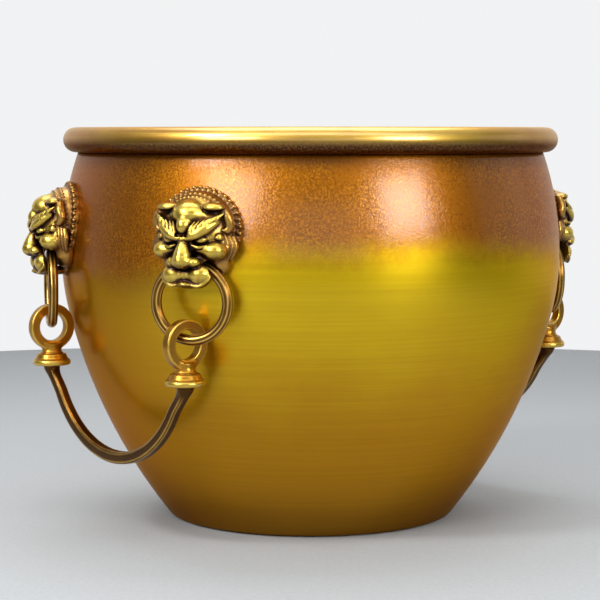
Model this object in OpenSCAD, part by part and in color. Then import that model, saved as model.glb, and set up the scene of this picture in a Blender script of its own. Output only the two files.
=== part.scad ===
// Brass planter pot with two bail handles. Each bail hangs from two rings,
// and each ring runs through the mouth of a lion mask.
// Frame: origin at the centre of the base, +Z up, handles on -X (left) and +X (right),
// -Y is the front. Units are millimetres.

/* [Pot] */
// Outer diameter of the belly at its widest
belly_d = 202.2; // [200:0.2:206]
// Height of the widest ring above the base
belly_z = 106.2; // [104:0.2:108]
// Height of the pot to the top of the rim
pot_h = 157; // [156:0.5:160]
// Thickness of the wall
wall = 3; // [2:0.25:4]
// Thickness of the floor
floor_t = 4; // [3:0.5:6]
// Radius of the arc above the belly
shoulder_r = 123; // [115:1:135]
// Radius of the arc just under the belly
belly_r = 96.7; // [90:0.1:100]
// Radius of the long arc of the lower flank
flank_r = 217.7; // [210:0.1:230]
// Angle at which the belly arc runs into the flank arc
flank_start = 13.8; // [12:0.1:16]
// Radius of the rounded corner at the base
foot_r = 3; // [2:0.5:4]

/* [Rim] */
// Outer diameter of the rim
rim_d = 200; // [198:0.5:202]
// Radius of the round bead of the rim
rim_bead_r = 5; // [4.5:0.25:5.5]
// Height of the shell's cut edge inside the bead
shell_top = 148; // [147.5:0.25:149]

/* [Masks] */
// Angle from a handle's axis to each of its two masks
mask_angle = 24.5; // [23:0.5:26]
// Height of the centre of a mask's plate
mask_z = 119.5; // [119:0.5:121]
// Radius of a mask's plate
mask_r = 15.2; // [14:0.2:16]
// Distance of a mask's two screws from its centre line
screw_offset = 9; // [8:0.5:10]
// Height of the screws
screw_z = 124; // [123:0.5:126]
// Radius of a screw's shank
screw_r = 1.5; // [1.25:0.25:1.75]

/* [Rings] */
// Radius of a ring's centre line
ring_r = 13.7; // [13.3:0.1:14]
// Radius of a ring's bar
ring_bar_r = 2.1; // [1.9:0.05:2.1]
// Distance of a ring's centre from the pot's axis
ring_x = 107; // [106.8:0.1:107.4]
// Height of a ring's centre
ring_z = 94; // [93.5:0.1:94.5]
// Angle that a ring is turned about the vertical from the wall's tangent
ring_toe = 6; // [0:1:7]

/* [Bails] */
// Radius of the bail's arc
bail_r = 42; // [41:0.25:43]
// Radius of the bail's bar
bail_bar_r = 2.6; // [2.2:0.1:2.8]
// Height of the lowest point of the bail's centre line
bail_low_z = 32.2; // [31:0.2:34]
// Radius of the eye's hole
eye_hole_r = 5.5; // [5.4:0.05:5.6]
// Outer radius of the eye
eye_r = 9.1; // [8.9:0.1:9.2]
// Thickness of the eye
eye_t = 3.8; // [3.4:0.1:4]
// Height of the eyes' centres
eye_z = 78.7; // [78.5:0.1:79]
// Distance of the front eye from the lowest point of its ring
eye_slip_front = 2.6; // [2:0.1:2.6]
// Distance of the back eye from the lowest point of its ring
eye_slip_back = 0; // [0:0.1:1]
// Twist of the back eye about its stem
eye_twist_back = 10; // [0:1:10]
// Radius of the collar under an eye
collar_r = 7.4; // [6.5:0.1:7.6]
// Height of the collar's underside
collar_z = 63.6; // [63:0.1:64]

/* [Hidden] */
$fn = 64;

BRASS = [0.78, 0.60, 0.18];
BROWN_BRASS = [0.52, 0.35, 0.14];
POLISHED_BRASS = [0.85, 0.70, 0.24];
STEEL = [0.70, 0.70, 0.68];

// ends of a side: front is towards -Y, back towards +Y
FRONT = -1;
BACK = 1;

flank_steps = 12;
belly_steps = 4;
shoulder_steps = 6;
foot_steps = 4;
joint_gap = 0.05;

// outline of the pot: shoulder, belly and flank arcs that meet in line
belly_max = belly_d / 2;
flank_top_z = belly_z - belly_r * sin(flank_start);
flank_top_x = belly_max - belly_r * (1 - cos(flank_start));
function shoulder_point(a, t) = [
    belly_max - shoulder_r + (shoulder_r - t) * cos(a),
    belly_z + (shoulder_r - t) * sin(a)
];
function belly_point(a, t) = [
    belly_max - belly_r + (belly_r - t) * cos(a),
    belly_z - (belly_r - t) * sin(a)
];
function flank_point(a, t) = [
    flank_top_x - flank_r * cos(flank_start) + (flank_r - t) * cos(a),
    flank_top_z + flank_r * sin(flank_start) - (flank_r - t) * sin(a)
];
function flank_angle(z, t) = asin(
    (flank_top_z + flank_r * sin(flank_start) - z) / (flank_r - t)
);
// the outline moved inwards by t, from the height low to the height high
function outline(t, low, high) = concat(
    [for (i = [flank_steps : -1 : 1])
        flank_point(flank_start + (flank_angle(low, t) - flank_start) * i / flank_steps, t)],
    [for (i = [belly_steps : -1 : 1]) belly_point(flank_start * i / belly_steps, t)],
    [for (i = [0 : shoulder_steps])
        shoulder_point(asin((high - belly_z) / (shoulder_r - t)) * i / shoulder_steps, t)]
);
function reversed(points) = [for (i = [len(points) - 1 : -1 : 0]) points[i]];
// the foot's rounded corner touches the flank in line, and the base at height 0
foot_angle = flank_angle(foot_r, foot_r);
foot_centre = flank_point(foot_angle, foot_r);
function foot_point(a) = [foot_centre[0] + foot_r * cos(a), foot_r * (1 - sin(a))];

rim_centre_x = rim_d / 2 - rim_bead_r;
rim_centre_z = pot_h - rim_bead_r;
rim_seat_gap = 0.4;
mouth_x = shoulder_point(asin((shell_top - belly_z) / (shoulder_r - wall)), wall)[0];

// the ring's top, where it runs through the mask's mouth
mouth_z = ring_z + ring_r;
chord_angle = mask_angle + ring_toe;

// the masks' forms: [distance outside the belly, distance from the centre line,
// height above the plate's centre, radius]
SKULL = [1.5, 0, -0.3, 12.3];
FOREHEAD = [2.5, 0, 7.2, 6.6];
NOSE_TIP = [14.4, 0, -9.3, 3.3];
BROW = [9.8, 5.2, 3.3, 4.4];
CHEEK = [6.5, 9, -5.9, 4.5];
MUZZLE = [10.3, 4.3, -13.7, 4.6];
bridge_top = [10.7, -0.5];
bridge_tilt = 160;
bridge_l = 9;
bridge_r = 2.4;
bridge_low_r = 3;
plate_back = 7;
plate_t = 9.4;
plate_widen = 1.2;
scallop_r = 2.3;
scallop_out = mask_r * 0.94;
scallop_t = 9;
scallop_turn = 19;
scallop_start = -24;
scallop_end = 204;
// the jaw is the bridge of metal under the ring, and the post is the metal behind it
jaw_half = 4.2;
jaw_low = 99;
jaw_back = 4;
jaw_l = 15.5;
jaw_h = 3.6;
post_l = 6.6;
post_h = 8;
// room for the ring in the mouth, upright and swung out
mouth_room = 1.5;
mouth_low_room = 1.2;
mouth_low_drop = 1.3;
// the mouth beside the jaw: [distance from the pot's axis, height from the ring's top]
mouth_side = [[104.2, 3.2], [110.6, 3.2], [111.3, 0], [115.8, -11.7], [104.2, -11.7]];
cut_l = 60;

// centres of the eyes' holes on the +X side, at [x, y]
function eye_at(end) =
    let (slip = end == FRONT ? eye_slip_front : eye_slip_back)
    [ring_x * cos(mask_angle) + slip * sin(chord_angle),
        end * (ring_x * sin(mask_angle) - slip * cos(chord_angle))];
eye_span = norm(eye_at(BACK) - eye_at(FRONT));
bail_mid = (eye_at(BACK) + eye_at(FRONT)) / 2;
bail_yaw = atan2(eye_at(FRONT)[0] - eye_at(BACK)[0], eye_at(BACK)[1] - eye_at(FRONT)[1]);
bail_centre_z = bail_low_z + bail_r;
collar_h = 4.6;
collar_edge = 0.7;
collar_rim_t = 1.6;
stem_r = 3.8;
stem_flare = 0.6;
stem_h = 2.4;
tenon_r = 1.9;
tenon_l = 2.2;
tenon_room = 0.3;
neck_h = 3.6;
neck_r = 3.8;
neck_in = 0.8;
arc_end = acos((bail_centre_z - collar_z + 1) / bail_r);

washer_r = 3.2;
washer_t = 0.8;
washer_x = 95.5;
screw_head_r = 2.7;
screw_head_t = 1.8;
screw_l = 10.5;
screw_bore_start = 90;
screw_bore_l = 16.5;
shell_bore_gap = 0.25;
washer_gap = 0.15;

// children are drawn for the +X side; the left side is its mirror image
module on_side(left) {
    mirror([left ? 1 : 0, 0, 0]) children();
}

// turns local +X to a mask's own radius; end is FRONT or BACK
module at_mask(end) {
    rotate([0, 0, end * mask_angle]) children();
}

// moves to the bail's middle, its own Y along the line of the eyes
module at_bail() {
    translate([bail_mid[0], bail_mid[1], 0]) rotate([0, 0, bail_yaw]) children();
}

module bar_across(x, z, r, length) {
    translate([x, length / 2, z]) rotate([90, 0, 0]) cylinder(r = r, h = length);
}

module bar_along(x, y, z, r, length) {
    translate([x, y, z]) rotate([0, 90, 0]) cylinder(r = r, h = length);
}

// one form of a mask, on the side of its centre line given by the sign
module form(f, sign = 1) {
    translate([belly_max + f[0], sign * f[1], mask_z + f[2]]) sphere(r = f[3]);
}

module pot_outside(grow) {
    rotate_extrude($fn = 128)
        polygon(concat([[0, 0]], outline(-grow, 1, shell_top + 2), [[0, shell_top + 2]]));
}

module screw_axes() {
    for (left = [false, true])
        on_side(left)
            for (end = [FRONT, BACK])
                at_mask(end)
                    for (y = [-screw_offset, screw_offset])
                        translate([0, y, screw_z]) rotate([0, 90, 0]) children();
}

module pot_shell() {
    color(BRASS)
        difference() {
            rotate_extrude($fn = 128)
                polygon(concat(
                    [[0, 0]],
                    [for (i = [0 : foot_steps - 1])
                        foot_point(90 - (90 - foot_angle) * i / foot_steps)],
                    outline(0, foot_point(foot_angle)[1], shell_top),
                    reversed(outline(wall, floor_t, shell_top)),
                    [[0, floor_t]]
                ));
            screw_axes() cylinder(r = screw_r + shell_bore_gap, h = belly_max);
        }
}

module rim_bead() {
    color(BRASS)
        rotate_extrude($fn = 128)
            difference() {
                translate([rim_centre_x, rim_centre_z]) circle(r = rim_bead_r);
                translate([0, shell_top - pot_h]) square([mouth_x + wall + rim_seat_gap, pot_h]);
                translate([0, shell_top - wall]) square([mouth_x, pot_h]);
            }
}

module mask_screws() {
    color(STEEL)
        screw_axes() {
            translate([0, 0, washer_x - washer_t - screw_head_t])
                cylinder(r = screw_head_r, h = screw_head_t);
            translate([0, 0, washer_x - washer_t]) cylinder(r = screw_r, h = screw_l);
        }
}

module mask_washers() {
    color(STEEL)
        screw_axes()
            translate([0, 0, washer_x - washer_t])
                difference() {
                    cylinder(r = washer_r, h = washer_t);
                    translate([0, 0, -1]) cylinder(r = screw_r + washer_gap, h = washer_t + 2);
                }
}

// head, mane and muzzle as one casting, before the mouth is cut
module mask_casting() {
    for (y = [-plate_widen, plate_widen])
        bar_along(belly_max - plate_back, y, mask_z, mask_r, plate_t);
    for (a = [scallop_start : scallop_turn : scallop_end])
        bar_along(
            belly_max - plate_back,
            (scallop_out + plate_widen) * cos(a), mask_z + scallop_out * sin(a),
            scallop_r, scallop_t
        );
    form(SKULL);
    form(FOREHEAD);
    form(NOSE_TIP);
    translate([belly_max + bridge_top[0], 0, mask_z + bridge_top[1]])
        rotate([0, bridge_tilt, 0])
            cylinder(r1 = bridge_r, r2 = bridge_low_r, h = bridge_l);
    for (sign = [-1, 1]) {
        form(BROW, sign);
        form(CHEEK, sign);
        form(MUZZLE, sign);
    }
    translate([belly_max - jaw_back, -jaw_half, jaw_low]) cube([jaw_l, jaw_half * 2, jaw_h]);
    translate([belly_max - jaw_back, -jaw_half, jaw_low]) cube([post_l, jaw_half * 2, post_h]);
}

module mask() {
    difference() {
        mask_casting();
        bar_across(ring_x, mouth_z, ring_bar_r + mouth_room, cut_l);
        bar_across(ring_x, mouth_z - mouth_low_drop, ring_bar_r + mouth_low_room, cut_l);
        for (y = [jaw_half + cut_l, -jaw_half])
            translate([0, y, mouth_z])
                rotate([90, 0, 0])
                    linear_extrude(cut_l) polygon(mouth_side);
        pot_outside(joint_gap);
        for (y = [-screw_offset, screw_offset])
            bar_along(screw_bore_start, y, screw_z, screw_r + joint_gap, screw_bore_l);
    }
}

module place_mask(left, end) {
    color(POLISHED_BRASS) on_side(left) at_mask(end) mask();
}

module place_ring(left, end) {
    color(BROWN_BRASS)
        on_side(left)
            at_mask(end)
                translate([ring_x, 0, ring_z])
                    rotate([0, 0, end * ring_toe])
                        rotate([0, 90, 0])
                            rotate_extrude()
                                translate([ring_r, 0]) circle(r = ring_bar_r);
}

// flat ring on a short stem, bored below for the bail's tenon
module eye(twist) {
    difference() {
        union() {
            translate([0, 0, eye_z])
                rotate([0, 0, twist])
                    rotate([90, 0, 0])
                        cylinder(r = eye_r, h = eye_t, center = true);
            translate([0, 0, collar_z + collar_h])
                cylinder(r1 = stem_r + stem_flare, r2 = stem_r - stem_flare, h = stem_h);
        }
        translate([0, 0, eye_z])
            rotate([0, 0, twist])
                rotate([90, 0, 0])
                    cylinder(r = eye_hole_r, h = eye_t * 3, center = true);
        translate([0, 0, collar_z]) cylinder(r = tenon_r + joint_gap, h = collar_h + tenon_l + tenon_room);
    }
}

// thin flat disc with a low shoulder under the eye
module collar() {
    difference() {
        rotate_extrude()
            polygon([
                [0, collar_z],
                [collar_r - collar_edge, collar_z],
                [collar_r, collar_z + collar_edge],
                [collar_r, collar_z + collar_rim_t],
                [collar_r - collar_edge, collar_z + collar_rim_t + collar_edge],
                [stem_r + stem_flare * 2, collar_z + collar_h - collar_edge],
                [stem_r + stem_flare, collar_z + collar_h],
                [0, collar_z + collar_h]
            ]);
        translate([0, 0, collar_z - 1]) cylinder(r = tenon_r + joint_gap, h = collar_h + 2);
    }
}

module bail() {
    translate([0, 0, bail_centre_z])
        rotate([0, 90, 0])
            rotate([0, 0, -arc_end])
                rotate_extrude(angle = arc_end * 2)
                    translate([bail_r, 0]) circle(r = bail_bar_r);
    for (end = [FRONT, BACK])
        translate([0, end * eye_span / 2, collar_z - joint_gap]) {
            translate([0, -end * neck_in, -neck_h])
                cylinder(r1 = bail_bar_r, r2 = neck_r, h = neck_h);
            cylinder(r = tenon_r, h = collar_h + tenon_l);
        }
}

module place_bail(left) {
    color(BROWN_BRASS) on_side(left) at_bail() bail();
}

module place_eye(left, end) {
    color(BRASS)
        on_side(left)
            at_bail()
                translate([0, end * eye_span / 2, 0])
                    eye(end == BACK ? eye_twist_back : 0);
}

module place_collar(left, end) {
    color(BRASS) on_side(left) at_bail() translate([0, end * eye_span / 2, 0]) collar();
}

pot_shell();
rim_bead();
mask_screws();
mask_washers();
place_mask(true, FRONT);  // mask_left_front
place_mask(true, BACK);  // mask_left_back
place_mask(false, FRONT);  // mask_right_front
place_mask(false, BACK);  // mask_right_back
place_ring(true, FRONT);  // ring_left_front
place_ring(true, BACK);  // ring_left_back
place_ring(false, FRONT);  // ring_right_front
place_ring(false, BACK);  // ring_right_back
place_bail(true);  // bail_left
place_bail(false);  // bail_right
place_eye(true, FRONT);  // eye_left_front
place_eye(true, BACK);  // eye_left_back
place_eye(false, FRONT);  // eye_right_front
place_eye(false, BACK);  // eye_right_back
place_collar(true, FRONT);  // collar_left_front
place_collar(true, BACK);  // collar_left_back
place_collar(false, FRONT);  // collar_right_front
place_collar(false, BACK);  // collar_right_back
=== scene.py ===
import math

import bmesh
import bpy
import numpy as np
from mathutils import Matrix, Vector


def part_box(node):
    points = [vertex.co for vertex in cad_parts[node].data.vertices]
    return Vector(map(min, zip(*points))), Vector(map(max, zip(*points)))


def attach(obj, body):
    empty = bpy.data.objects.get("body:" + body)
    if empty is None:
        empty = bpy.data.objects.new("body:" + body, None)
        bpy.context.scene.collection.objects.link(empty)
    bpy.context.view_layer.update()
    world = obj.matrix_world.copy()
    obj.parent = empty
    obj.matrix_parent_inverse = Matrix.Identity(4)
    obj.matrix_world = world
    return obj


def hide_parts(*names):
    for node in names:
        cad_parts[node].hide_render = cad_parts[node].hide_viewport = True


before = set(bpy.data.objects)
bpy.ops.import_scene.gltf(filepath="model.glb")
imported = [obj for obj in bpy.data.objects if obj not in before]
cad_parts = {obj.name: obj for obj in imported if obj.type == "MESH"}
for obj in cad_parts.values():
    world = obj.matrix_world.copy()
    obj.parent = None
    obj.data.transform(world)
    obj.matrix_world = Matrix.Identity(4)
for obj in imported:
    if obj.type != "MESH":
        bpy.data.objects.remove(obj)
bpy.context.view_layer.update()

# ---------------------------------------------------------------- sizes, in millimetres
MM = 0.001
SIDES = {"left": -1, "right": 1}
ENDS = {"front": -1, "back": 1}

SHELL_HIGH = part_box("pot_shell")[1] / MM
RIM_LOW, RIM_HIGH = (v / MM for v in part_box("rim_bead"))
BELLY_R = SHELL_HIGH.x
SHELL_TOP = SHELL_HIGH.z
POT_TOP = RIM_HIGH.z
RIM_R = RIM_HIGH.x
RIM_BEAD_R = (RIM_HIGH.z - RIM_LOW.z) / 2
BELLY_Z = 106.2
WALL = 3.0
FLOOR_T = 4.0
SHOULDER_ARC = 123.0
BELLY_ARC = 96.7
FLANK_ARC = 217.7
FLANK_START = math.radians(13.8)
FOOT_R = 3.0
CORNER_R = 7.0

MASK_ANGLE = math.radians(24.5)
RING_TOE = math.radians(6.0)
RING_R = 13.7
RING_BAR_R = 2.1
RING_X = 107.0
RING_Z = 94.0
MOUTH_Z = RING_Z + RING_R
RING_SWING = math.radians(25.0)
RING_STEPS = 112
RIM_STEPS = 32

EYE_R = 9.1
EYE_HOLE_R = 5.5
EYE_T = 3.8
EYE_Z = 78.7
EYE_SLIP = {"front": 2.6, "back": 0.0}
EYE_TWIST = {"front": 0.0, "back": math.radians(10.0)}
COLLAR_R = 7.4
COLLAR_Z = 63.6
COLLAR_TOP = 68.2
STEM_R = 3.8
BAIL_R = 42.0
BAIL_LOW_Z = 32.2


# ---------------------------------------------------------------- meshes
def add_object(name, verts, faces, smooth=True):
    """Makes an object from points in millimetres and faces of point numbers."""
    mesh = bpy.data.meshes.new(name)
    mesh.from_pydata((np.asarray(verts, float) * MM).tolist(), [], faces)
    mesh.validate()
    mesh.polygons.foreach_set("use_smooth", [smooth] * len(mesh.polygons))
    obj = bpy.data.objects.new(name, mesh)
    bpy.context.scene.collection.objects.link(obj)
    return obj


def face_outwards(obj):
    """Makes a closed mesh's faces all point outwards."""
    work = bmesh.new()
    work.from_mesh(obj.data)
    bmesh.ops.recalc_face_normals(work, faces=work.faces)
    if work.calc_volume(signed=True) < 0:
        bmesh.ops.reverse_faces(work, faces=work.faces)
    work.to_mesh(obj.data)
    work.free()


def turned(name, outline, segments):
    """Turns an outline of (radius, height) about Z. An open outline starts and ends on the axis."""
    verts, rows = [], []
    for r, z in outline:
        if r < 1e-6:
            rows.append([len(verts)])
            verts.append((0, 0, z))
        else:
            rows.append(list(range(len(verts), len(verts) + segments)))
            for i in range(segments):
                a = math.tau * i / segments
                verts.append((r * math.cos(a), r * math.sin(a), z))
    open_ended = len(rows[0]) == 1
    faces = []
    for n in range(len(rows) - 1 if open_ended else len(rows)):
        low, high = rows[n], rows[(n + 1) % len(rows)]
        for i in range(segments):
            j = (i + 1) % segments
            ring = [low[i % len(low)], low[j % len(low)], high[j % len(high)], high[i % len(high)]]
            faces.append(list(dict.fromkeys(ring)))
    obj = add_object(name, verts, faces)
    face_outwards(obj)
    return obj


def store_wear(obj, values):
    """Stores how worn each point of a piece is: 1 on an edge, 0 on a flat."""
    layer = obj.data.attributes.new("wear", "FLOAT", "POINT")
    layer.data.foreach_set("value", np.asarray(values, np.float32))


def swept(name, frames, sections, closed):
    """Sweeps sections along frames. A frame is (centre, side, up); a section is (u, v, wear) points."""
    verts, faces, wear = [], [], []
    count = len(sections[0])
    for (centre, side, up), section in zip(frames, sections):
        for u, v, worn in section:
            verts.append(np.array(centre) + np.array(side) * u + np.array(up) * v)
            wear.append(worn)
    steps = len(frames)
    for n in range(steps if closed else steps - 1):
        for i in range(count):
            a, b = n * count, ((n + 1) % steps) * count
            j = (i + 1) % count
            faces.append([a + i, a + j, b + j, b + i])
    if not closed:
        faces.append(list(range(count)))
        faces.append([(steps - 1) * count + i for i in range(count)])
    obj = add_object(name, verts, faces)
    store_wear(obj, wear)
    face_outwards(obj)
    return obj


def faceted_section(across, corner, roundness=0.0, round_r=0.0, count=48):
    """An eight-sided bar: four flats at one distance, four at another. It can fade to a circle."""
    points = []
    for i in range(count):
        a = math.tau * i / count
        reach = []
        for n in range(8):
            off = math.cos(a - math.pi / 4 * n)
            if off > 0.3:
                reach.append((across if n % 2 == 0 else corner) / off)
        reach.sort()
        worn = 1 - min(1, (reach[1] - reach[0]) / (0.26 * across))
        r = reach[0] * (1 - 0.035 * worn)
        r = r * (1 - roundness) + round_r * roundness
        points.append((r * math.cos(a), r * math.sin(a), worn * (1 - roundness)))
    return points


# ---------------------------------------------------------------- clay: a solid as a distance field
def smooth_min(a, b, k):
    h = np.clip(0.5 + 0.5 * (b - a) / k, 0, 1)
    return b + (a - b) * h - k * h * (1 - h)


def ball_field(p, centre, radii):
    """Rough distance to an ellipsoid."""
    q = (p - np.array(centre, np.float32)) / np.array(radii, np.float32)
    inner = np.sqrt((q * q).sum(1)) + 1e-6
    outer = np.sqrt(((q / np.array(radii, np.float32)) ** 2).sum(1)) + 1e-6
    return inner * (inner - 1) / outer


def stroke_field(p, points, radii):
    """Distance to a tapered tube through the points."""
    best = np.full(len(p), 1e3, np.float32)
    for a, b, ra, rb in zip(points[:-1], points[1:], radii[:-1], radii[1:]):
        ab = np.array(b - a, np.float32)
        rel = p - np.array(a, np.float32)
        t = np.clip(rel @ ab / float(ab @ ab), 0, 1)
        gap = rel - t[:, None] * ab
        best = np.minimum(best, np.sqrt((gap * gap).sum(1)) - (ra + t * (rb - ra)))
    return best


def curve_through(points, radii, steps):
    """Points and radii along a smooth curve through the given ones."""
    pts = np.array(points, float)
    pts = np.vstack([2 * pts[0] - pts[1], pts, 2 * pts[-1] - pts[-2]])
    rad = np.array(radii, float)
    out, out_r = [], []
    for n in range(1, len(pts) - 2):
        for i in range(steps):
            t = i / steps
            a, b, c, d = pts[n - 1:n + 3]
            out.append(0.5 * (2 * b + (c - a) * t + (2 * a - 5 * b + 4 * c - d) * t * t
                              + (3 * b - a - 3 * c + d) * t ** 3))
            out_r.append(rad[n - 1] + (rad[n] - rad[n - 1]) * t)
    return np.array(out + [pts[-2]]), np.array(out_r + [rad[-1]])


class Clay:
    """Distances at the points p, built up by adding and cutting forms."""

    def __init__(self, p):
        self.p = p
        self.d = np.full(len(p), 1e3, np.float32)

    def near(self, low, high, reach):
        inside = np.all((self.p > np.array(low) - reach) & (self.p < np.array(high) + reach), axis=1)
        return np.nonzero(inside)[0]

    def apply(self, low, high, field, k, cut=False):
        at = self.near(low, high, k + 1.2)
        if not len(at):
            return
        new = field(self.p[at])
        if cut:
            self.d[at] = -smooth_min(-self.d[at], new, k)
        else:
            self.d[at] = smooth_min(self.d[at], new, k)

    def ball(self, centre, radii, k=0.6, cut=False):
        low, high = np.array(centre) - radii, np.array(centre) + radii
        self.apply(low, high, lambda p: ball_field(p, centre, radii), k, cut)

    def stroke(self, points, radii, k=0.4, cut=False, steps=4):
        pts, rad = curve_through(points, radii, steps)
        low, high = pts.min(0) - rad.max(), pts.max(0) + rad.max()
        self.apply(low, high, lambda p: stroke_field(p, pts, rad), k, cut)


def clay_mesh(name, field, low, high, step):
    """Meshes the zero surface of a field by surface nets, then settles the points on the surface."""
    axes = [np.arange(a, b + step, step, dtype=np.float32) for a, b in zip(low, high)]
    grid = np.stack(np.meshgrid(*axes, indexing="ij"), -1)
    shape = grid.shape[:3]
    values = field(grid.reshape(-1, 3)).reshape(shape)
    inside = values < 0
    cells = tuple(s - 1 for s in shape)
    total = np.zeros(cells + (3,), np.float32)
    crossings = np.zeros(cells, np.float32)
    for axis in range(3):
        others = [a for a in range(3) if a != axis]
        near = [slice(None)] * 3
        far = [slice(None)] * 3
        near[axis], far[axis] = slice(0, -1), slice(1, None)
        a, b = values[tuple(near)], values[tuple(far)]
        crossed = (a < 0) != (b < 0)
        t = np.where(crossed, a / np.where(crossed, a - b, 1), 0)
        for i in (0, 1):
            for j in (0, 1):
                pick = [slice(None)] * 3
                pick[others[0]] = slice(i, shape[others[0]] - 1 + i)
                pick[others[1]] = slice(j, shape[others[1]] - 1 + j)
                hit = crossed[tuple(pick)]
                total[..., axis] += np.where(hit, t[tuple(pick)], 0)
                total[..., others[0]] += np.where(hit, i, 0)
                total[..., others[1]] += np.where(hit, j, 0)
                crossings += hit
    active = crossings > 0
    numbers = np.full(cells, -1, np.int64)
    numbers[active] = np.arange(active.sum())
    where = np.argwhere(active)
    verts = (where + total[active] / crossings[active][:, None]) * step + np.array(low, np.float32)
    faces = []
    for axis in range(3):
        others = [a for a in range(3) if a != axis]
        near = [slice(1, -1)] * 3
        far = [slice(1, -1)] * 3
        near[axis], far[axis] = slice(0, -1), slice(1, None)
        a, b = inside[tuple(near)], inside[tuple(far)]
        edges = np.argwhere(a != b)
        flip = a[tuple(edges.T)]
        corner = edges + 1
        corner[:, axis] -= 1
        quad = []
        for i, j in ((-1, -1), (0, -1), (0, 0), (-1, 0)):
            cell = corner.copy()
            cell[:, others[0]] += i
            cell[:, others[1]] += j
            quad.append(numbers[tuple(cell.T)])
        quad = np.stack(quad, 1)
        if axis == 1:
            flip = ~flip
        quad[~flip] = quad[~flip][:, ::-1]
        faces.append(quad)
    faces = np.vstack(faces)
    verts = verts.astype(np.float32)
    for _ in range(3):
        gradient, value = slope_of(field, verts, step * 0.35)
        length = (gradient * gradient).sum(1) + 1e-6
        move = gradient * (value / length)[:, None]
        size = np.sqrt((move * move).sum(1)) + 1e-9
        verts = verts - move * np.minimum(1, step * 0.5 / size)[:, None]
    obj = add_object(name, verts, faces.tolist())
    face_outwards(obj)
    return obj, verts


def slope_of(field, points, h):
    """Gradient and value of a field at the points."""
    gradient = np.zeros_like(points)
    for axis in range(3):
        shift = np.zeros(3, np.float32)
        shift[axis] = h
        gradient[:, axis] = (field(points + shift) - field(points - shift)) / (2 * h)
    return gradient, field(points)


def shade_hollows(obj, field, verts, reaches):
    """Stores how open the surface is: 1 on high spots, 0 deep in a hollow, and lower still on undersides as
    painted shade.
    """
    gradient, _ = slope_of(field, verts, 0.12)
    normal = gradient / (np.sqrt((gradient * gradient).sum(1))[:, None] + 1e-6)
    open_sum = np.zeros(len(verts), np.float32)
    for reach in reaches:
        open_sum += np.clip(field(verts + normal * reach) / reach, 0, 1.0)
    # painted shade: surfaces that face down count as less open, so they come out darker, as if shaded from
    # the light above
    underside = np.clip(-normal[:, 2] - 0.1, 0, 1)
    openness = open_sum / len(reaches) - 0.32 * underside
    away = np.hypot(verts[:, 1] / PLATE_HALF_Y, (verts[:, 2] - PLATE_Z) / PLATE_HALF_Z)
    mane = np.clip((away - 0.66) / 0.14, 0, 1) * np.clip((108.6 - verts[:, 0]) / 2.0, 0, 1)
    for name, values in (("openness", openness), ("mane", mane)):
        layer = obj.data.attributes.new(name, "FLOAT", "POINT")
        layer.data.foreach_set("value", values.astype(np.float32))


# ---------------------------------------------------------------- the lion mask
# The mask's own frame: X outwards from the pot's axis, Y across the face, Z up, all in millimetres.
PLATE_PROUD = 2.0
PLATE_Z = 119.8
PLATE_HALF_Y = 16.4
PLATE_HALF_Z = 15.4
SCALLOPS = 17


def plate_edge(angle):
    """Distance of the scalloped edge from the plate's centre."""
    plain = 1 / np.sqrt((np.cos(angle) / PLATE_HALF_Y) ** 2 + (np.sin(angle) / PLATE_HALF_Z) ** 2)
    return plain + 0.75 * (np.abs(np.cos(angle * SCALLOPS / 2)) - 0.6)


SKULL = np.array((99.4, 0.0, 120.3))
SKULL_RADII = np.array((12.2, 14.8, 13.6))


def mane_front(y, z):
    """How far out the mane's surface stands: on the skull, or on the plate beside it."""
    plate = math.sqrt((float(shell_radius(z)) + PLATE_PROUD) ** 2 - y * y)
    left = 1 - (y / SKULL_RADII[1]) ** 2 - ((z - SKULL[2]) / SKULL_RADII[2]) ** 2
    return max(plate, SKULL[0] + SKULL_RADII[0] * math.sqrt(max(left, 0)))


def plate_field(p):
    angle = np.arctan2(p[:, 2] - PLATE_Z, p[:, 1])
    away = np.hypot(p[:, 1], p[:, 2] - PLATE_Z)
    side = away - plate_edge(angle)
    face = np.hypot(p[:, 0], p[:, 1]) - shell_radius(p[:, 2]) - PLATE_PROUD
    rounding = 0.8
    a, b = np.maximum(side + rounding, 0), np.maximum(face + rounding, 0)
    return np.hypot(a, b) - rounding + np.minimum(np.maximum(side, face) + rounding, 0)


def curl_rows():
    """Centres of the small curls of the mane: (y, z, size)."""
    rows = []
    for away, count, size, start, end in (
            (15.3, 27, 0.9, -32, 212), (14.3, 26, 0.85, -20, 200), (13.2, 25, 0.7, -8, 188),
            (12.1, 23, 0.6, 8, 172)):
        for i in range(count):
            a = math.radians(start + (end - start) * i / (count - 1))
            stretch = PLATE_HALF_Y / PLATE_HALF_Z
            rows.append((away * math.cos(a) * stretch, PLATE_Z + away * math.sin(a), size))
    return rows


BROW = [(113.8, 1.6, 117.6), (113.5, 4.8, 118.8), (111.8, 8.2, 120.9), (108.9, 11.0, 123.2)]


def sculpt_mane(clay):
    for y, z, size in curl_rows():
        if y < -0.5:
            continue
        x = mane_front(y, z)
        clay.ball((x - 0.2, y, z), (size * 0.8, size, size * 0.9), 0.45)
    # long locks down the side of the face
    for i in range(4):
        start = (106.8 - 0.9 * i, 11.4 + 1.25 * i, 118.4 - 0.3 * i)
        mid = (106.6 - 0.9 * i, 12.5 + 1.2 * i, 113.6 + 0.2 * i)
        end = (104.8 - 0.5 * i, 9.2 + 1.6 * i, 107.0 + 0.9 * i)
        clay.stroke([start, mid, end], (0.9, 1.15, 0.55), 0.12, steps=3)


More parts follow.
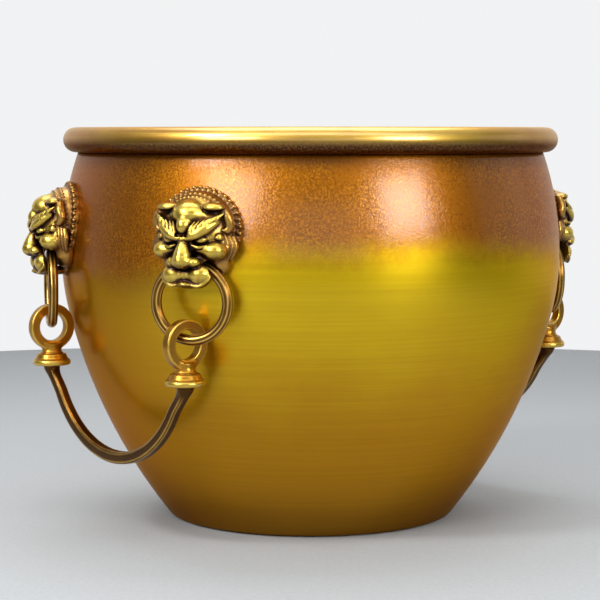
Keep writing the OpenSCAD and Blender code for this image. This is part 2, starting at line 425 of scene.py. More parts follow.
def sculpt_brow(clay):
    """The heavy brow: a ridge with pointed tufts combed up and outwards from it."""
    clay.stroke(BROW, (1.5, 1.95, 1.95, 1.3), 0.6)
    pts, _ = curve_through(BROW, (1, 1, 1, 1), 8)
    for i in range(6):
        t = i / 5
        root = pts[int(3 + t * (len(pts) - 6))]
        lift = 5.3 - 1.7 * t
        bend = root + np.array([0.15 - 0.2 * t, 0.5 + 0.6 * t, lift * 0.52])
        tip = root + np.array([-1.0 - 1.0 * t, 1.6 + 1.5 * t, lift])
        clay.stroke([root, bend, tip], (1.25, 0.95, 0.25), 0.06, steps=4)


def sculpt_eye(clay):
    clay.ball((112.3, 6.0, 116.2), (2.6, 3.1, 1.5), 0.45, cut=True)
    clay.ball((110.6, 6.1, 116.9), (2.9, 2.6, 1.85), 0.25)
    clay.stroke([(113.2, 3.2, 115.0), (112.9, 5.9, 114.2), (110.9, 8.8, 115.0)], (0.5, 0.7, 0.5), 0.4)
    clay.stroke([(114.0, 3.0, 115.9), (113.4, 5.9, 115.2), (111.4, 8.8, 115.9)], (0.25, 0.4, 0.25), 0.2,
                cut=True)
    # the round knot at the outer corner
    clay.ball((107.6, 11.2, 117.6), (1.9, 1.8, 1.8), 0.3)


def sculpt_nose(clay):
    clay.stroke([(112.6, 0, 116.8), (113.8, 0, 113.4), (114.3, 0, 110.2)], (1.6, 2.5, 3.6), 0.7)
    clay.stroke([(114.2, 0, 116.2), (116.0, 0, 112.6), (116.8, 0, 109.6)], (0.6, 0.8, 1.4), 0.8)
    clay.ball((114.3, 0, 109.0), (3.4, 4.0, 2.4), 0.8)
    clay.ball((113.2, 4.1, 108.9), (2.8, 2.4, 1.9), 0.7)
    wing_line = [(114.4, 3.9, 111.2), (112.2, 5.9, 110.9), (110.4, 6.6, 109.4)]
    clay.stroke(wing_line, (0.25, 0.5, 0.4), 0.5, cut=True)
    clay.ball((115.5, 2.5, 106.8), (1.4, 1.2, 0.8), 0.4, cut=True)


def sculpt_cheek(clay):
    clay.ball((107.9, 9.6, 112.9), (4.9, 4.7, 3.6), 0.8)
    clay.stroke([(111.6, 5.2, 113.2), (110.6, 7.6, 113.0), (109.4, 10.0, 113.4)], (1.0, 1.8, 2.5), 0.9)
    fold = [(112.8, 4.6, 110.6), (111.4, 7.0, 108.9), (109.0, 10.4, 108.2)]
    clay.stroke(fold, (0.5, 0.8, 0.7), 0.6, cut=True)


def sculpt_muzzle(clay):
    clay.ball((109.6, 0, 104.4), (4.0, 5.4, 3.0), 0.8)
    clay.ball((110.3, 5.0, 104.5), (4.0, 4.4, 3.9), 0.7)
    clay.ball((109.4, 7.6, 105.0), (2.6, 2.2, 2.4), 0.8)
    clay.stroke([(109.8, 8.2, 104.0), (110.8, 6.9, 102.9), (111.0, 4.6, 102.2), (110.8, 0, 103.2)],
                (1.6, 1.9, 2.0, 1.6), 0.9)
    clay.stroke([(110.6, 9.8, 104.9), (111.9, 8.7, 102.4), (112.6, 5.6, 100.4), (112.7, 2.4, 100.8),
                 (112.5, 0, 101.6)], (0.45, 0.55, 0.6, 0.55, 0.55), 0.5)
    clay.stroke([(115.0, 0, 106.4), (113.7, 0, 103.2)], (0.6, 0.45), 0.8, cut=True)
    clay.ball((102.4, 6.6, 108.6), (4.6, 6.6, 6.2), 0.8)
    clay.ball((107.2, 4.6, 109.6), (3.6, 4.6, 4.2), 0.8)
    # chin under the ring, back to the plate
    clay.ball((107.0, 0, 100.9), (7.6, 4.4, 1.9), 0.4)
    clay.ball((100.8, 0, 103.6), (2.6, 5.0, 5.0), 0.8)


def sculpt_ear(clay):
    clay.ball((107.0, 8.7, 128.2), (3.4, 4.6, 1.75), 0.3)
    clay.stroke([(109.8, 6.2, 127.2), (109.7, 8.4, 126.6), (107.8, 12.0, 126.6)], (0.4, 0.62, 0.4), 0.25,
                cut=True)
    # the broad lock that curls in beside the temple
    clay.stroke([(105.2, 11.6, 127.4), (105.6, 13.6, 125.0), (105.2, 14.4, 122.2), (105.8, 13.6, 120.2),
                 (107.0, 11.6, 120.3)], (1.7, 1.9, 1.8, 1.4, 0.5), 0.3)


def mask_field(points):
    p = points.astype(np.float32).copy()
    flat = p.copy()
    p[:, 1] = np.abs(p[:, 1])
    clay = Clay(p)
    clay.d = plate_field(flat)
    clay.ball(SKULL, SKULL_RADII, 0.8)
    clay.ball((102.6, 0, 118.4), (10.6, 13.4, 12.6), 1.0)
    sculpt_mane(clay)
    clay.ball((107.0, 0, 125.6), (7.2, 6.8, 5.2), 1.2)
    clay.stroke([(109.0, 2.4, 126.8), (108.8, 5.6, 125.4)], (1.9, 1.4), 1.2)
    clay.ball((110.8, 0, 121.8), (5.0, 3.3, 4.2), 0.7)
    sculpt_ear(clay)
    sculpt_cheek(clay)
    sculpt_brow(clay)
    clay.ball((114.6, 1.75, 118.6), (1.1, 0.85, 0.85), 0.4, cut=True)
    clay.ball((114.3, 0, 117.2), (1.3, 1.3, 1.0), 0.35)
    sculpt_eye(clay)
    sculpt_nose(clay)
    sculpt_muzzle(clay)
    # the way of the ring through the mouth, at rest and swung out
    clay.d = -smooth_min(-clay.d, ring_way_field(flat), 0.25)
    # the back of the casting follows the pot
    around = np.hypot(flat[:, 0], flat[:, 1])
    wall = 0.06 + np.array(shell_radius(flat[:, 2])) - around
    return np.maximum(clay.d, wall.astype(np.float32))


def ring_way_field(p):
    """Distance to the space that the ring's bar sweeps as both rings of a handle swing out."""
    best = np.full(len(p), 1e3, np.float32)
    near = np.nonzero(np.all((p > (100, -14, 96)) & (p < (120, 14, 114)), axis=1))[0]
    if not len(near):
        return best
    q = p[near]
    found = best[near]
    for end in (-1, 1):
        for n in range(6):
            swing = RING_SWING * n / 5
            axis = np.array([math.sin(MASK_ANGLE) * end, math.cos(MASK_ANGLE), 0.0])
            pivot = np.array([RING_X, 0.0, MOUTH_Z])
            rel = rotated(q - pivot, axis, swing) + pivot - (RING_X, 0, RING_Z)
            c, s = math.cos(-end * RING_TOE), math.sin(-end * RING_TOE)
            out = rel[:, 0] * c - rel[:, 1] * s
            across = rel[:, 0] * s + rel[:, 1] * c
            ring = np.hypot(np.hypot(across, rel[:, 2]) - RING_R, out) - RING_BAR_R - 0.42
            found = np.minimum(found, ring.astype(np.float32))
    best[near] = found
    return best


def rotated(vectors, axis, angle):
    """Turns vectors about a unit axis."""
    c, s = math.cos(angle), math.sin(angle)
    dot = (vectors @ axis)[:, None]
    return vectors * c + np.cross(axis, vectors) * s + axis * dot * (1 - c)


# ---------------------------------------------------------------- the pot
def flank_centre():
    top_x = BELLY_R - BELLY_ARC * (1 - math.cos(FLANK_START))
    top_z = BELLY_Z - BELLY_ARC * math.sin(FLANK_START)
    return (top_x - FLANK_ARC * math.cos(FLANK_START), top_z + FLANK_ARC * math.sin(FLANK_START))


def shell_radius(z):
    """Outer radius of the shell at height z."""
    z = np.asarray(z, float)
    cx, cz = flank_centre()
    top_z = BELLY_Z - BELLY_ARC * math.sin(FLANK_START)
    flank = cx + np.sqrt(np.maximum(FLANK_ARC ** 2 - (cz - z) ** 2, 1))
    belly = BELLY_R - BELLY_ARC + np.sqrt(np.maximum(BELLY_ARC ** 2 - (BELLY_Z - z) ** 2, 1))
    shoulder = BELLY_R - SHOULDER_ARC + np.sqrt(np.maximum(SHOULDER_ARC ** 2 - (z - BELLY_Z) ** 2, 1))
    return np.where(z < top_z, flank, np.where(z < BELLY_Z, belly, shoulder))


def shell_outline():
    """The shell's section: up the outside, over the cut edge and down the inside."""
    cx, cz = flank_centre()
    foot_angle = math.asin((cz - FOOT_R) / (FLANK_ARC - FOOT_R))
    foot_x = cx + (FLANK_ARC - FOOT_R) * math.cos(foot_angle)
    points = [(0, 0), (foot_x * 0.5, 0), (foot_x - 1, 0)]
    for i in range(7):
        a = math.pi / 2 + (foot_angle - math.pi / 2) * i / 6
        points.append((foot_x + FOOT_R * math.cos(a), FOOT_R * (1 - math.sin(a))))
    low = points[-1][1]
    for i in range(1, 57):
        z = low + (SHELL_TOP - low) * i / 56
        points.append((float(shell_radius(z)), z))
    return points + inner_outline() + [(0, FLOOR_T)]


def wall_slope(z):
    """How fast the shell widens with height."""
    return float(shell_radius(z + 0.5) - shell_radius(z - 0.5))


def inner_outline():
    """The inside of the wall, downwards, with a round corner that runs into the floor."""
    bottom = FLOOR_T + CORNER_R
    lean = math.atan(wall_slope(bottom))
    bottom -= CORNER_R * math.sin(lean)
    points = []
    for i in range(41):
        z = SHELL_TOP + (bottom - SHELL_TOP) * i / 40
        points.append((float(shell_radius(z)) - WALL * math.hypot(1, wall_slope(z)), z))
    centre_r = points[-1][0] - CORNER_R * math.cos(lean)
    for i in range(1, 9):
        a = lean + (math.pi / 2 - lean) * i / 8
        points.append((centre_r + CORNER_R * math.cos(a), FLOOR_T + CORNER_R * (1 - math.sin(a))))
    return points


def make_pot():
    pot = turned("pot_body", shell_outline(), 256)
    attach(pot, "root")
    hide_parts("pot_shell")
    return pot


def make_rim():
    centre_r, centre_z = RIM_R - RIM_BEAD_R, POT_TOP - RIM_BEAD_R
    mouth_r = float(shell_radius(SHELL_TOP)) - WALL - 0.1
    outer_r = float(shell_radius(SHELL_TOP)) + 0.25
    points = [(outer_r, SHELL_TOP - 0.5)]
    start = -math.acos(max(-1, min(1, (outer_r - centre_r) / RIM_BEAD_R)))
    stop = math.pi - math.acos((centre_r - mouth_r) / RIM_BEAD_R)
    for i in range(RIM_STEPS + 1):
        a = start + (stop - start) * i / RIM_STEPS
        points.append((centre_r + RIM_BEAD_R * math.cos(a), centre_z + RIM_BEAD_R * math.sin(a)))
    points.append((mouth_r, SHELL_TOP + 1.5))
    points.append((mouth_r + 0.4, SHELL_TOP + 0.05))
    points.append((outer_r, SHELL_TOP + 0.05))
    rim = turned("rim_band", points, 256)
    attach(rim, "root")
    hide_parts("rim_bead")
    return rim


# ---------------------------------------------------------------- rings, bails, eyes and collars
def eye_place(end):
    """Centre of an eye's hole on the right side, x and y."""
    turn = MASK_ANGLE + RING_TOE
    slip = EYE_SLIP[end]
    x = RING_X * math.cos(MASK_ANGLE) + slip * math.sin(turn)
    y = ENDS[end] * (RING_X * math.sin(MASK_ANGLE) - slip * math.cos(turn))
    return np.array([x, y])


def make_ring(side, end, finish):
    turn = ENDS[end] * (MASK_ANGLE + RING_TOE)
    out = np.array([math.cos(turn), math.sin(turn), 0])
    across = np.array([-math.sin(turn), math.cos(turn), 0])
    place = ENDS[end] * MASK_ANGLE
    centre = np.array([RING_X * math.cos(place), RING_X * math.sin(place), RING_Z])
    frames, sections = [], []
    mirror = np.array([SIDES[side], 1, 1])
    for i in range(RING_STEPS):
        a = math.tau * i / RING_STEPS
        along = across * math.sin(a) + np.array([0, 0, 1]) * math.cos(a)
        frames.append(((centre + along * RING_R) * mirror, along * mirror, out * mirror))
        rubbed = 0.985 - 0.012 * math.sin(3 * a + 1.3) - 0.006 * math.sin(7 * a)
        flat = RING_BAR_R * math.cos(math.pi / 8) * rubbed
        sections.append(faceted_section(flat, flat))
    ring = swept(f"hung_ring_{side}_{end}", frames, sections, True)
    finish_piece(ring, side + "_rings", f"ring_{side}_{end}", finish)


def bail_frame(side):
    """Middle, along and out directions of a bail, in its side's place."""
    front, back = eye_place("front"), eye_place("back")
    mid = (front + back) / 2
    along = (back - front) / np.linalg.norm(back - front)
    out = np.array([along[1], -along[0]])
    mirror = np.array([SIDES[side], 1, 1])
    return (np.array([mid[0], mid[1], 0]), np.array([along[0], along[1], 0]),
            np.array([out[0], out[1], 0]), mirror, np.linalg.norm(back - front) / 2)


def bail_path(half_span):
    """Centre line of the bail from its back end to its front end, as (along, height)."""
    centre_z = BAIL_LOW_Z + BAIL_R
    points = []
    turn = math.radians(60)
    for i in range(-30, 31):
        a = turn * i / 30
        points.append((BAIL_R * math.sin(a), centre_z - BAIL_R * math.cos(a)))
    side_y, side_z = points[-1]
    neck = []
    for i in range(1, 15):
        t = i / 14
        p0, p1 = np.array([side_y, side_z]), np.array([half_span, COLLAR_Z - 0.05])
        m0 = np.array([math.cos(turn), math.sin(turn)]) * 9
        m1 = np.array([0.0, 1.0]) * 8
        h00, h10 = 2 * t ** 3 - 3 * t ** 2 + 1, t ** 3 - 2 * t ** 2 + t
        h01, h11 = -2 * t ** 3 + 3 * t ** 2, t ** 3 - t ** 2
        neck.append(tuple(h00 * p0 + h10 * m0 + h01 * p1 + h11 * m1))
    return [(-y, z) for y, z in reversed(neck)] + points + neck


def make_bail(side, finish):
    mid, along, out, mirror, half_span = bail_frame(side)
    path = bail_path(half_span)
    frames, sections = [], []
    for n, (s, z) in enumerate(path):
        before, after = path[max(n - 1, 0)], path[min(n + 1, len(path) - 1)]
        ds, dz = after[0] - before[0], after[1] - before[1]
        length = math.hypot(ds, dz)
        ds, dz = ds / length, dz / length
        normal = along * dz + np.array([0, 0, -ds])
        centre = mid + along * s + np.array([0, 0, z])
        frames.append((centre * mirror, normal * mirror, out * mirror))
        drop = COLLAR_Z - z
        flare = max(0.0, 1 - drop / 6.5) ** 1.6
        middle = max(0.0, 1 - abs(s) / 40)
        half = 2.02 + 0.38 * middle ** 0.8
        sections.append(faceted_section(half, half * 1.19, min(1, flare * 1.6), 2.3 + 1.15 * flare))
    bail = swept(f"drop_bail_{side}", frames, sections, False)
    finish_piece(bail, side + "_bail", f"bail_{side}", finish)


def eye_field(p):
    """The eye about its own hole's centre: hole along Y, stem down."""
    around = np.hypot(p[:, 0], p[:, 2])
    band = (EYE_R + EYE_HOLE_R) / 2
    half = (EYE_R - EYE_HOLE_R) / 2
    rounding = 0.55
    a = np.abs(around - band) - half + rounding
    b = np.abs(p[:, 1]) - EYE_T / 2 + rounding
    disc = np.hypot(np.maximum(a, 0), np.maximum(b, 0)) - rounding + np.minimum(np.maximum(a, b), 0)
    drop = EYE_Z - COLLAR_TOP
    level = np.clip((p[:, 2] + drop) / 2.6, 0, 1)
    radius = STEM_R + 1.5 - 1.9 * np.sqrt(level * (2 - level) + 1e-6)
    stem = np.maximum(np.hypot(p[:, 0], p[:, 1]) - radius, p[:, 2] + EYE_HOLE_R + 1.2)
    solid = smooth_min(disc, stem, 1.5)
    solid = np.maximum(solid, EYE_HOLE_R - around + (np.abs(p[:, 1]) - EYE_T / 2).clip(-rounding, 0))
    return np.maximum(solid, -(p[:, 2] + drop)).astype(np.float32)


def make_eyes(finish):
    drop = EYE_Z - COLLAR_TOP
    first, verts = clay_mesh("eye_form", eye_field, (-9.4, -5.4, -drop - 0.6), (9.4, 5.4, 9.4), 0.27)
    around = np.hypot(verts[:, 0], verts[:, 2])
    rim = np.minimum(np.abs(around - EYE_R + 0.25), np.abs(around - EYE_HOLE_R - 0.25))
    face = np.abs(np.abs(verts[:, 1]) - EYE_T / 2 + 0.25)
    wear = np.clip(1.25 - np.maximum(rim, face) / 0.5, 0, 1)
    shared = first.data
    bpy.data.objects.remove(first)
    for side in SIDES:
        mid, along, out, mirror, half_span = bail_frame(side)
        for end in ENDS:
            yaw = math.atan2(out[1], out[0]) + EYE_TWIST[end]
            c, s = math.cos(yaw), math.sin(yaw)
            place = mid + along * half_span * ENDS[end] + np.array([0, 0, EYE_Z])
            moved = np.column_stack([
                verts[:, 0] * c - verts[:, 1] * s, verts[:, 0] * s + verts[:, 1] * c, verts[:, 2],
            ])
            eye = placed_copy(f"hanging_eye_{side}_{end}", shared, (moved + place) * mirror)
            store_wear(eye, wear)
            finish_piece(eye, side + "_bail", f"eye_{side}_{end}", finish)


def placed_copy(name, mesh, verts):
    """A copy of a mesh with its points, in millimetres, set anew."""
    copy = mesh.copy()
    copy.name = name
    copy.vertices.foreach_set("co", (np.asarray(verts) * MM).astype(np.float32).ravel())
    copy.update()
    obj = bpy.data.objects.new(name, copy)
    bpy.context.scene.collection.objects.link(obj)
    face_outwards(obj)
    return obj


def make_collars(finish):
    outline = [
        (0, 0), (6.2, 0), (6.9, 0.1), (7.25, 0.4), (COLLAR_R, 0.9), (COLLAR_R, 1.45), (7.28, 1.8),
        (7.05, 2.1), (6.8, 2.35), (6.5, 2.6), (6.2, 3.0), (5.95, 3.5), (5.75, 4.0), (5.5, 4.4),
        (5.3, COLLAR_TOP - COLLAR_Z), (0, COLLAR_TOP - COLLAR_Z),
    ]
    for side in SIDES:
        mid, along, _, mirror, half_span = bail_frame(side)
        for end in ENDS:
            collar = turned(f"collar_disc_{side}_{end}", outline, 72)
            reach = [math.hypot(v.co.x, v.co.y) / MM for v in collar.data.vertices]
            store_wear(collar, [max(0, min(1, (r - 6.7) / 0.6)) for r in reach])
            place = (mid + along * half_span * ENDS[end] + np.array([0, 0, COLLAR_Z])) * mirror
            collar.data.transform(Matrix.Translation(Vector(place) * MM))
            finish_piece(collar, side + "_bail", f"collar_{side}_{end}", finish)


def finish_piece(obj, body, node, finish):
    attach(obj, body)
    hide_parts(node)
    obj.data.materials.clear()
    obj.data.materials.append(finish)


def make_masks(finish):
    step = 0.27
    first, verts = clay_mesh("mask_form", mask_field, (96.0, -18.5, 97.4), (119.6, 18.5, 136.8), step)
    shade_hollows(first, mask_field, verts, (0.5, 1.5, 3.4))
    shared = first.data
    bpy.data.objects.remove(first)
    for side in SIDES:
        for end in ENDS:
            turn = ENDS[end] * MASK_ANGLE
            c, s = math.cos(turn), math.sin(turn)
            moved = np.column_stack([
                (verts[:, 0] * c - verts[:, 1] * s) * SIDES[side],
                verts[:, 0] * s + verts[:, 1] * c, verts[:, 2],
            ])
            mask = placed_copy(f"lion_mask_{side}_{end}", shared, moved)
            finish_piece(mask, "root", f"mask_{side}_{end}", finish)


# ---------------------------------------------------------------- materials
class Graph:
    """A short way to write a material's nodes."""

    def __init__(self, name):
        self.material = bpy.data.materials.new(name)
        self.material.use_nodes = True
        self.tree = self.material.node_tree
        self.shader = self.tree.nodes["Principled BSDF"]

    def node(self, kind, inputs=None, **settings):
        made = self.tree.nodes.new(kind)
        for key, value in settings.items():
            setattr(made, key, value)
        for key, value in (inputs or {}).items():
            self.put(made.inputs[key], value)
        return made

    def put(self, socket, value):
        if isinstance(value, bpy.types.NodeSocket):
            self.tree.links.new(value, socket)
        elif isinstance(value, tuple) and socket.type == "RGBA" and len(value) == 3:
            socket.default_value = (*value, 1)
        else:
            socket.default_value = value

    def math(self, operation, a, b=0.0, c=0.0, clamp=False):
        inputs = {0: a, 1: b, 2: c}
        return self.node("ShaderNodeMath", inputs, operation=operation, use_clamp=clamp).outputs[0]

    def span(self, value, low, high, out_low=0.0, out_high=1.0, smooth=True):
        kind = "SMOOTHSTEP" if smooth else "LINEAR"
        inputs = {"Value": value, "From Min": low, "From Max": high, "To Min": out_low, "To Max": out_high}
        return self.node("ShaderNodeMapRange", inputs, interpolation_type=kind).outputs[0]

    def mix(self, factor, a, b):
        made = self.node("ShaderNodeMix", data_type="RGBA")
        self.put(made.inputs[0], factor)
        self.put(made.inputs[6], a)
        self.put(made.inputs[7], b)
        return made.outputs[2]

    def place(self, stretch=(1, 1, 1)):
        coords = self.node("ShaderNodeTexCoord").outputs["Object"]
        return self.node("ShaderNodeMapping", {"Vector": coords, "Scale": stretch}).outputs[0]

    def noise(self, vector, scale, detail=2.0, roughness=0.5):
        inputs = {"Vector": vector, "Scale": scale, "Detail": detail, "Roughness": roughness}
        return self.node("ShaderNodeTexNoise", inputs).outputs["Fac"]

    def bump(self, height, distance, strength=1.0, normal=None):
        inputs = {"Height": height, "Distance": distance, "Strength": strength}
        if normal is not None:
            inputs["Normal"] = normal
        return self.node("ShaderNodeBump", inputs).outputs[0]

    def height(self):
        return self.node("ShaderNodeSeparateXYZ", {0: self.place()}).outputs[2]

    def set(self, **values):
        for key, value in values.items():
            self.put(self.shader.inputs[key.replace("_", " ")], value)


def pot_finish():
    """Brushed gold brass, brown and speckled above the belly, with painted shade just under the rim and
    towards the foot.
    """
    g = Graph("pot_brass_patina")
    z = g.height()
    around = g.place()
    drift = g.noise(g.place((1, 1, 0.6)), 9, 3, 0.6)
    ragged = g.noise(around, 260, 3, 0.65)
    side = g.node("ShaderNodeVectorMath", {0: around, 1: (-0.743, 0.669, 0)}, operation="DOT_PRODUCT")
    lower_side = g.span(side.outputs["Value"], 0.025, 0.075, 0.0, 0.013)
    wander = g.math("MULTIPLY", g.math("SUBTRACT", drift, 0.5), 0.024)
    edge = g.math("ADD", g.math("ADD", z, lower_side), wander)
    edge = g.math("ADD", edge, g.math("MULTIPLY", g.math("SUBTRACT", ragged, 0.5), 0.007))
    patina = g.span(edge, 0.1020, 0.1190)
    speck = g.span(g.noise(around, 1300, 2, 0.7), 0.40, 0.70)
    cloud = g.noise(g.place((1, 1, 1.2)), 30, 3, 0.6)
    brush = g.noise(g.place((7, 7, 700)), 1.6, 3, 0.6)
    fine_brush = g.noise(g.place((14, 14, 2600)), 1.8, 2, 0.6)
    gold = g.mix(g.span(brush, 0.2, 0.8), (0.62, 0.40, 0.007), (0.70, 0.48, 0.010))
    lower = g.mix(g.span(brush, 0.2, 0.8), (0.47, 0.215, 0.007), (0.54, 0.26, 0.009))
    gold = g.mix(g.span(g.math("ADD", z, g.math("MULTIPLY", cloud, 0.03)), 0.118, 0.050), gold, lower)
    brown = g.mix(speck, (0.27, 0.088, 0.002), (0.64, 0.232, 0.004))
    brown = g.mix(g.span(cloud, 0.35, 0.7), brown, (0.38, 0.122, 0.002))
    stain = g.span(g.noise(around, 850, 3, 0.7), 0.50, 0.72, 0.0, 0.5)
    brown = g.mix(stain, brown, (0.13, 0.036, 0.003))
    gold = g.mix(g.math("MULTIPLY", lower_side, 55.0, clamp=True), gold, (0.40, 0.165, 0.008))
    color = g.mix(patina, gold, brown)
    # painted shade: a darker band just under the rim, for the shadow the rim casts on the shoulder
    color = g.mix(g.span(z, 0.138, 0.148, 0.0, 0.6), color, (0.07, 0.022, 0.003))
    # painted shade: darker towards the foot, for the shadowed floor that the lower wall reflects
    color = g.mix(g.span(z, 0.030, 0.0, 0.0, 0.6), color, (0.15, 0.060, 0.006))
    rough = g.span(patina, 0, 1, 0.35, 0.48)
    rough = g.math("ADD", rough, g.math("MULTIPLY", g.math("SUBTRACT", brush, 0.5), 0.10))
    grain = g.bump(g.math("MULTIPLY", fine_brush, g.span(patina, 0, 1, 1.0, 0.25)), 0.00004, 0.35)
    normal = g.bump(g.math("MULTIPLY", speck, patina), 0.00003, 0.3, grain)
    peel = g.bump(g.math("MULTIPLY", speck, patina), 0.00006, 0.35)
    g.set(Base_Color=color, Metallic=0.92, Roughness=rough, Normal=normal,
          Anisotropic=0.45, Anisotropic_Rotation=0.25,
          Coat_Weight=g.span(patina, 0, 1, 0.05, 0.30), Coat_Roughness=0.12, Coat_IOR=2.1,
          Coat_Normal=peel, Specular_Tint=(0.72, 0.46, 0.20))
    return g.material


def rim_finish():
    """Turned brass. The underside is dark brown with specks: the specks are the metal's own, the dark is
    painted shade under the bead.
    """
    g = Graph("rim_brass_turned")
    z = g.height()
    speck = g.span(g.noise(g.place(), 1300, 2, 0.7), 0.42, 0.66)
    patch = g.noise(g.place((1, 1, 2)), 22, 3, 0.6)
    brush = g.noise(g.place((5, 5, 1400)), 1.8, 3, 0.6)
    gold = g.mix(g.span(patch, 0.35, 0.7), (0.62, 0.38, 0.045), (0.42, 0.19, 0.020))
    gold = g.mix(g.span(brush, 0.3, 0.7, 0, 0.5), gold, (0.58, 0.38, 0.060))
    # painted shade: the underside below the bead turns dark brown for the shadow under the rim; the specks on
    # it are the metal's own
    brown = g.mix(speck, (0.05, 0.015, 0.003), (0.19, 0.075, 0.009))
    color = g.mix(g.span(z, 0.1535, 0.1495), gold, brown)
    g.set(Base_Color=color, Metallic=0.96, Roughness=g.span(brush, 0, 1, 0.34, 0.46),
          Normal=g.bump(brush, 0.00004, 0.35), Coat_Weight=g.span(z, 0.1495, 0.1535, 0.08, 0.5),
          Coat_Roughness=0.19, Coat_IOR=2.3, Specular_Tint=(0.72, 0.46, 0.20))
    return g.material


def mask_finish():
    """Cast brass: polished on the high spots, dark brown patina in the hollows, with painted shade in the
    deepest hollows and on undersides.
    """
    g = Graph("mask_brass_cast")
    opened = g.node("ShaderNodeAttribute", attribute_name="openness").outputs["Fac"]
    mottle = g.noise(g.place(), 420, 4, 0.6)
    pits = g.noise(g.place(), 1900, 3, 0.6)
    # the openness also holds painted shade on undersides, so those turn brown like the hollows
    wear = g.math("ADD", opened, g.math("MULTIPLY", g.math("SUBTRACT", mottle, 0.5), 0.26))
    shine = g.span(wear, 0.62, 1.04)
    mane = g.node("ShaderNodeAttribute", attribute_name="mane").outputs["Fac"]
    gold = g.mix(mottle, (0.62, 0.39, 0.035), (0.86, 0.64, 0.12))
    brown = g.mix(pits, (0.030, 0.008, 0.002), (0.20, 0.080, 0.014))
    gold = g.mix(g.math("MULTIPLY", mane, 0.8), gold, (0.42, 0.195, 0.040))
    brown = g.mix(g.math("MULTIPLY", mane, 0.85), brown, (0.19, 0.078, 0.016))
    color = g.mix(shine, brown, gold)
    # painted shade: the deepest hollows of the face go near black in place of shadow the lighting leaves out;
    # the mane is spared
    face_only = g.math("SUBTRACT", 1.0, g.math("MULTIPLY", mane, 0.8))
    deep = g.math("MULTIPLY", g.span(opened, 0.66, 0.34), face_only)
    color = g.mix(deep, color, (0.016, 0.004, 0.001))
    g.set(Base_Color=color, Metallic=0.97, Roughness=g.span(shine, 0, 1, 0.50, 0.30),
          Normal=g.bump(g.math("ADD", pits, mottle), 0.00010, 0.45), Coat_Weight=0.35, Coat_Roughness=0.20)
    return g.material


def ring_finish(name, dark, light, shine_low, shine_high):
    """Brown patinated brass, bright along worn edges."""
    g = Graph(name)
    worn = g.node("ShaderNodeAttribute", attribute_name="wear").outputs["Fac"]
    mottle = g.noise(g.place(), 110, 3, 0.55)
    pits = g.noise(g.place(), 300, 2, 0.5)
    wear = g.math("ADD", worn, g.math("MULTIPLY", g.math("SUBTRACT", mottle, 0.5), 0.55))
    shine = g.span(wear, shine_low, shine_high)
    brown = g.mix(mottle, dark, tuple(1.9 * v for v in dark))
    color = g.mix(shine, brown, light)
    g.set(Base_Color=color, Metallic=0.97, Roughness=g.span(pits, 0.2, 0.8, 0.27, 0.36),
          Normal=g.bump(pits, 0.00005, 0.15))
    return g.material


def steel_finish():
    g = Graph("zinc_steel")
    pits = g.noise(g.place(), 900, 3, 0.6)
    g.set(Base_Color=g.mix(pits, (0.42, 0.41, 0.38), (0.62, 0.61, 0.57)), Metallic=1.0,
          Roughness=g.span(pits, 0.2, 0.8, 0.28, 0.46), Normal=g.bump(pits, 0.00005, 0.4))
    return g.material


# ---------------------------------------------------------------- stage, light and camera
CAMERA_DISTANCE = 789.6
CAMERA_HEIGHT = 154.67
CAMERA_AZIMUTH = math.radians(228)
CAMERA_YAW = math.radians(0.308)
CAMERA_PITCH = math.radians(-4.94)
CAMERA_LENS = 115.9


def make_camera():
    data = bpy.data.cameras.new("camera")
    data.lens = CAMERA_LENS
    data.sensor_width = 36
    data.clip_start = 0.01
    camera = bpy.data.objects.new("camera", data)
    camera.location = Vector((
        CAMERA_DISTANCE * math.cos(CAMERA_AZIMUTH), CAMERA_DISTANCE * math.sin(CAMERA_AZIMUTH), CAMERA_HEIGHT,
    )) * MM
    heading = CAMERA_AZIMUTH - math.pi + CAMERA_YAW
    camera.rotation_euler = (math.pi / 2 + CAMERA_PITCH, 0, heading - math.pi / 2)
    bpy.context.scene.collection.objects.link(camera)
    bpy.context.scene.camera = camera


def make_softbox(name, from_camera, elevation, distance, width, height, power, color=(1, 1, 1)):
    """An area light that faces the pot. from_camera is degrees to the right of the camera."""
    data = bpy.data.lights.new(name, "AREA")
    data.shape = "RECTANGLE"
    data.size, data.size_y = width, height
    data.energy = power
    data.color = color
    light = bpy.data.objects.new(name, data)
    a, e = CAMERA_AZIMUTH + math.radians(from_camera), math.radians(elevation)
    target = Vector((0, 0, 0.09))
    towards = Vector((math.cos(a) * math.cos(e), math.sin(a) * math.cos(e), math.sin(e)))
    light.location = target + towards * distance
    light.rotation_euler = (-towards).to_track_quat("-Z", "Y").to_euler()
    light.visible_camera = False
    bpy.context.scene.collection.objects.link(light)


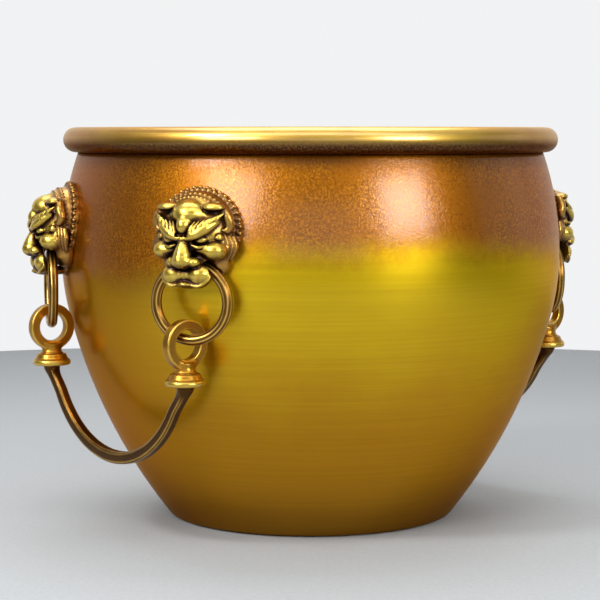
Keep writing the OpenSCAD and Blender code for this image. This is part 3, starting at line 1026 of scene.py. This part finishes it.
def make_world():
    """A pale room: bright behind the pot, dimmer on the camera's side."""
    world = bpy.data.worlds.new("studio")
    world.use_nodes = True
    tree = world.node_tree
    background = tree.nodes["Background"]
    coords = tree.nodes.new("ShaderNodeTexCoord")
    facing = tree.nodes.new("ShaderNodeVectorMath")
    facing.operation = "DOT_PRODUCT"
    facing.inputs[1].default_value = (math.cos(CAMERA_AZIMUTH), math.sin(CAMERA_AZIMUTH), 0)
    tree.links.new(coords.outputs["Generated"], facing.inputs[0])
    fade = tree.nodes.new("ShaderNodeMapRange")
    fade.interpolation_type = "SMOOTHSTEP"
    for key, value in (("From Min", -0.96), ("From Max", 0.05), ("To Min", 0.90), ("To Max", 0.10)):
        fade.inputs[key].default_value = value
    tree.links.new(facing.outputs["Value"], fade.inputs["Value"])
    background.inputs[0].default_value = (0.985, 0.99, 1.0, 1)
    height = tree.nodes.new("ShaderNodeSeparateXYZ")
    tree.links.new(coords.outputs["Generated"], height.inputs[0])
    ceiling = tree.nodes.new("ShaderNodeMapRange")
    ceiling.interpolation_type = "SMOOTHSTEP"
    for key, value in (("From Min", 0.35), ("From Max", 0.85), ("To Min", 0.0), ("To Max", 0.55)):
        ceiling.inputs[key].default_value = value
    tree.links.new(height.outputs[2], ceiling.inputs["Value"])
    whole = tree.nodes.new("ShaderNodeMath")
    whole.operation = "MAXIMUM"
    tree.links.new(fade.outputs[0], whole.inputs[0])
    tree.links.new(ceiling.outputs[0], whole.inputs[1])
    tree.links.new(whole.outputs[0], background.inputs[1])
    bpy.context.scene.world = world


def make_stage():
    outline = [(0, -0.3), (620, -0.3), (620, -2.3), (0, -2.3)]
    floor = turned("floor", outline, 128)
    g = Graph("pale_floor")
    weave = g.noise(g.place(), 700, 3, 0.6)
    g.set(Base_Color=g.mix(weave, (0.295, 0.31, 0.32), (0.375, 0.39, 0.40)), Roughness=0.95,
          Normal=g.bump(weave, 0.0003, 0.4))
    floor.data.materials.append(g.material)
    make_world()
    bpy.context.scene.view_settings.view_transform = "Standard"
    make_softbox("left_softbox", -36, 20, 1.2, 0.5, 0.4, 5.0)
    make_softbox("key_light", -52, 40, 1.2, 0.24, 0.24, 7)
    make_softbox("right_softbox", 42, 18, 1.2, 0.44, 0.42, 6.4)
    make_softbox("front_fill", 4, 10, 1.3, 1.0, 0.5, 1.3)
    make_softbox("right_fill", 98, 14, 1.3, 0.8, 0.6, 0.6)
    make_softbox("top_light", 180, 70, 1.5, 1.3, 1.0, 17)
    make_softbox("front_top_light", 4, 56, 1.3, 2.4, 0.45, 8.0)


# ---------------------------------------------------------------- assembly
POT_FINISH = pot_finish()
pot = make_pot()
pot.data.materials.append(POT_FINISH)
rim = make_rim()
rim.data.materials.append(rim_finish())
make_masks(mask_finish())
RING_FINISH = ring_finish("ring_brass_worn", (0.12, 0.050, 0.009), (0.76, 0.50, 0.12), 0.10, 1.05)
BAIL_FINISH = ring_finish("bail_brass_worn", (0.060, 0.026, 0.006), (0.56, 0.33, 0.075), 0.15, 1.10)
EYE_FINISH = ring_finish("eye_brass_worn", (0.31, 0.150, 0.018), (0.70, 0.47, 0.09), 0.10, 1.15)
for side in SIDES:
    for end in ENDS:
        make_ring(side, end, RING_FINISH)
    make_bail(side, BAIL_FINISH)
make_eyes(EYE_FINISH)
make_collars(EYE_FINISH)
STEEL = steel_finish()
for name in ("mask_screws", "mask_washers"):
    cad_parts[name].data.materials.clear()
    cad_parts[name].data.materials.append(STEEL)
make_stage()
make_camera()
